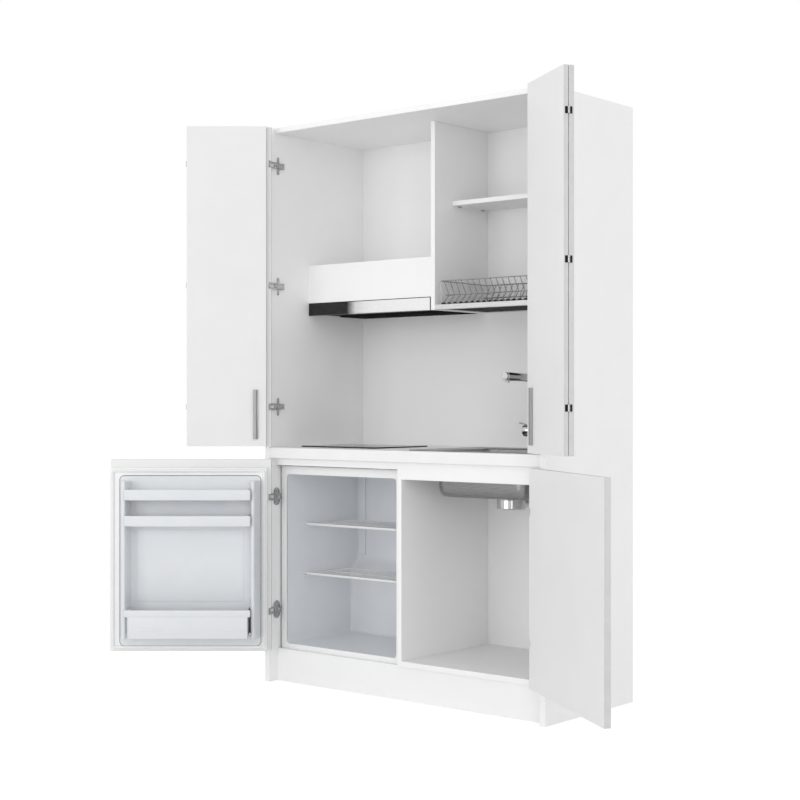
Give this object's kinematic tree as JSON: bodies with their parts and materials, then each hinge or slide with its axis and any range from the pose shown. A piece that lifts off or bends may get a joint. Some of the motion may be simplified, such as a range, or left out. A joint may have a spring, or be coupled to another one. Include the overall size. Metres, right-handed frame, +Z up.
{
  "type": "kitchenette unit with sink and hob",
  "caption": "Closet kitchenette with folding doors over a worktop with sink, tap, hob, hood and dish rack, and a refrigerator and a sink compartment below.",
  "frame": {"origin": "floor level, middle of the back, on the wall plane", "axes": "+X to the right seen from the front, front at -Y, +Z up"},
  "size_m": [2.1123, 0.9659, 2.025],
  "materials": {
    "board_white": "white melamine-faced board, satin",
    "leaf_white": "white melamine-faced door leaf, satin",
    "worktop_white": "white laminate worktop, satin",
    "fridge_shell": "white coated shell over insulation",
    "fridge_liner": "pale moulded liner",
    "gasket_white": "soft white sealing profile",
    "wire_white": "white coated wire",
    "brushed_steel": "brushed stainless steel",
    "polished_steel": "polished chrome",
    "hinge_metal": "nickel-plated steel",
    "rail_aluminium": "satin anodised aluminium",
    "dark_filter": "dark grille",
    "dark_glass": "dark ceramic glass",
    "visor_glass": "grey glass",
    "dark_plastic": "dark plastic",
    "trap_plastic": "white plastic pipework",
    "black_metal": "black painted steel",
    "knob_white": "white moulded plastic"
  },
  "bodies": {
    "carcass": {"side_panel_left": "board_white", "side_panel_right": "board_white", "top_panel": "board_white", "bottom_panel": "board_white", "lower_divider": "board_white", "upper_divider": "board_white", "plinth": "board_white", "worktop": "worktop_white", "back_panel_upper": "board_white", "back_panel_lower": "board_white", "sink_rail": "board_white", "fridge_strip": "board_white", "upper_shelf": "board_white", "shelf_clips": "hinge_metal", "hood_shelf": "board_white", "hood_front_board": "board_white", "hood_body": "brushed_steel", "hood_filters": "dark_filter", "hob_glass": "dark_glass", "hob_tray": "brushed_steel", "sink_bowl": "brushed_steel", "sink_waste": "polished_steel", "sink_trap": "trap_plastic", "tap_body": "polished_steel", "rack_frame": "rail_aluminium", "drip_tray": "dark_plastic", "hinge_arms_left": "hinge_metal", "hinge_arms_right": "hinge_metal", "fridge_cabinet": "fridge_shell", "fridge_liner": "fridge_liner", "fridge_feet": "dark_plastic", "fridge_brackets": "hinge_metal", "compressor": "black_metal", "thermostat_box": "fridge_liner"},
    "left_outer": {"left_outer_leaf": "leaf_white", "left_outer_hinges": "hinge_metal"},
    "left_inner": {"left_inner_leaf": "leaf_white", "left_inner_hinges": "hinge_metal", "left_handle": "brushed_steel"},
    "right_outer": {"right_outer_leaf": "leaf_white", "right_outer_hinges": "hinge_metal"},
    "right_inner": {"right_inner_leaf": "leaf_white", "right_inner_hinges": "hinge_metal", "right_handle": "brushed_steel"},
    "fridge_door": {"fridge_door_panel": "leaf_white", "fridge_inner_door": "fridge_liner", "fridge_gasket": "gasket_white", "door_racks": "fridge_liner", "bottle_tray": "fridge_liner"},
    "sink_door": {"sink_door": "leaf_white", "sink_door_hinges": "hinge_metal"},
    "hood_drawer": {"hood_bar": "polished_steel", "hood_visor": "visor_glass"},
    "spout": {"tap_spout": "polished_steel"},
    "mixer": {"tap_knob": "polished_steel"},
    "strainer": {"sink_strainer": "polished_steel"},
    "dish_rack": {"plate_rack": "polished_steel"},
    "dial": {"thermostat_dial": "knob_white"},
    "shelf_upper": {"wire_shelf_upper": "wire_white"},
    "shelf_lower": {"wire_shelf_lower": "wire_white"}
  },
  "joints": [
    {"name": "left_door", "type": "hinge", "parent": "carcass", "child": "left_outer", "pos_m": [-0.591, -0.5287, 1.446], "axis": [0, 0, -1], "range_deg": [-140.1, 0]},
    {"name": "left_fold", "type": "hinge", "parent": "left_outer", "child": "left_inner", "pos_m": [-0.80867, -0.73684, 1.446], "axis": [0, 0, -1], "range_deg": [0, 180]},
    {"name": "right_door", "type": "hinge", "parent": "carcass", "child": "right_outer", "pos_m": [0.591, -0.5287, 1.446], "axis": [0, 0, 1], "range_deg": [-146.8, 0]},
    {"name": "right_fold", "type": "hinge", "parent": "right_outer", "child": "right_inner", "pos_m": [0.83147, -0.71002, 1.446], "axis": [0, 0, 1], "range_deg": [0, 180]},
    {"name": "fridge_door", "type": "hinge", "parent": "carcass", "child": "fridge_door", "pos_m": [-0.591, -0.5287, 0.465], "axis": [0, 0, -1], "range_deg": [-140, 0]},
    {"name": "sink_door", "type": "hinge", "parent": "carcass", "child": "sink_door", "pos_m": [0.591, -0.5287, 0.465], "axis": [0, 0, 1], "range_deg": [-144.9, 0]},
    {"name": "hood_pull", "type": "slide", "parent": "carcass", "child": "hood_drawer", "axis": [0, -1, 0], "range_m": [0, 0.15]},
    {"name": "spout_swivel", "type": "hinge", "parent": "carcass", "child": "spout", "pos_m": [0.287, -0.0885, 1.08], "axis": [0, 0, 1], "range_deg": [-80, 90]},
    {"name": "mixer_turn", "type": "hinge", "parent": "carcass", "child": "mixer", "pos_m": [0.242, -0.0885, 0.9212], "axis": [1, 0, 0], "range_deg": [-30, 60]},
    {"name": "strainer_lift", "type": "slide", "parent": "carcass", "child": "strainer", "axis": [0, 0, 1], "range_m": [0, 0.05]},
    {"name": "plate_rack_lift", "type": "slide", "parent": "carcass", "child": "dish_rack", "axis": [0, 0, 1], "range_m": [0, 0.1]},
    {"name": "thermostat_turn", "type": "hinge", "parent": "carcass", "child": "dial", "pos_m": [-0.06, -0.279, 0.697], "axis": [-1, 0, 0], "range_deg": [0, 270]},
    {"name": "upper_shelf_slide", "type": "slide", "parent": "carcass", "child": "shelf_upper", "axis": [0, -1, 0], "range_m": [0, 0.15]},
    {"name": "lower_shelf_slide", "type": "slide", "parent": "carcass", "child": "shelf_lower", "axis": [0, -1, 0], "range_m": [0, 0.15]}
  ],
  "couplings": [
    {"joint": "left_fold", "follows": "left_door", "ratio": -1.2848},
    {"joint": "right_fold", "follows": "right_door", "ratio": -1.2262}
  ]
}
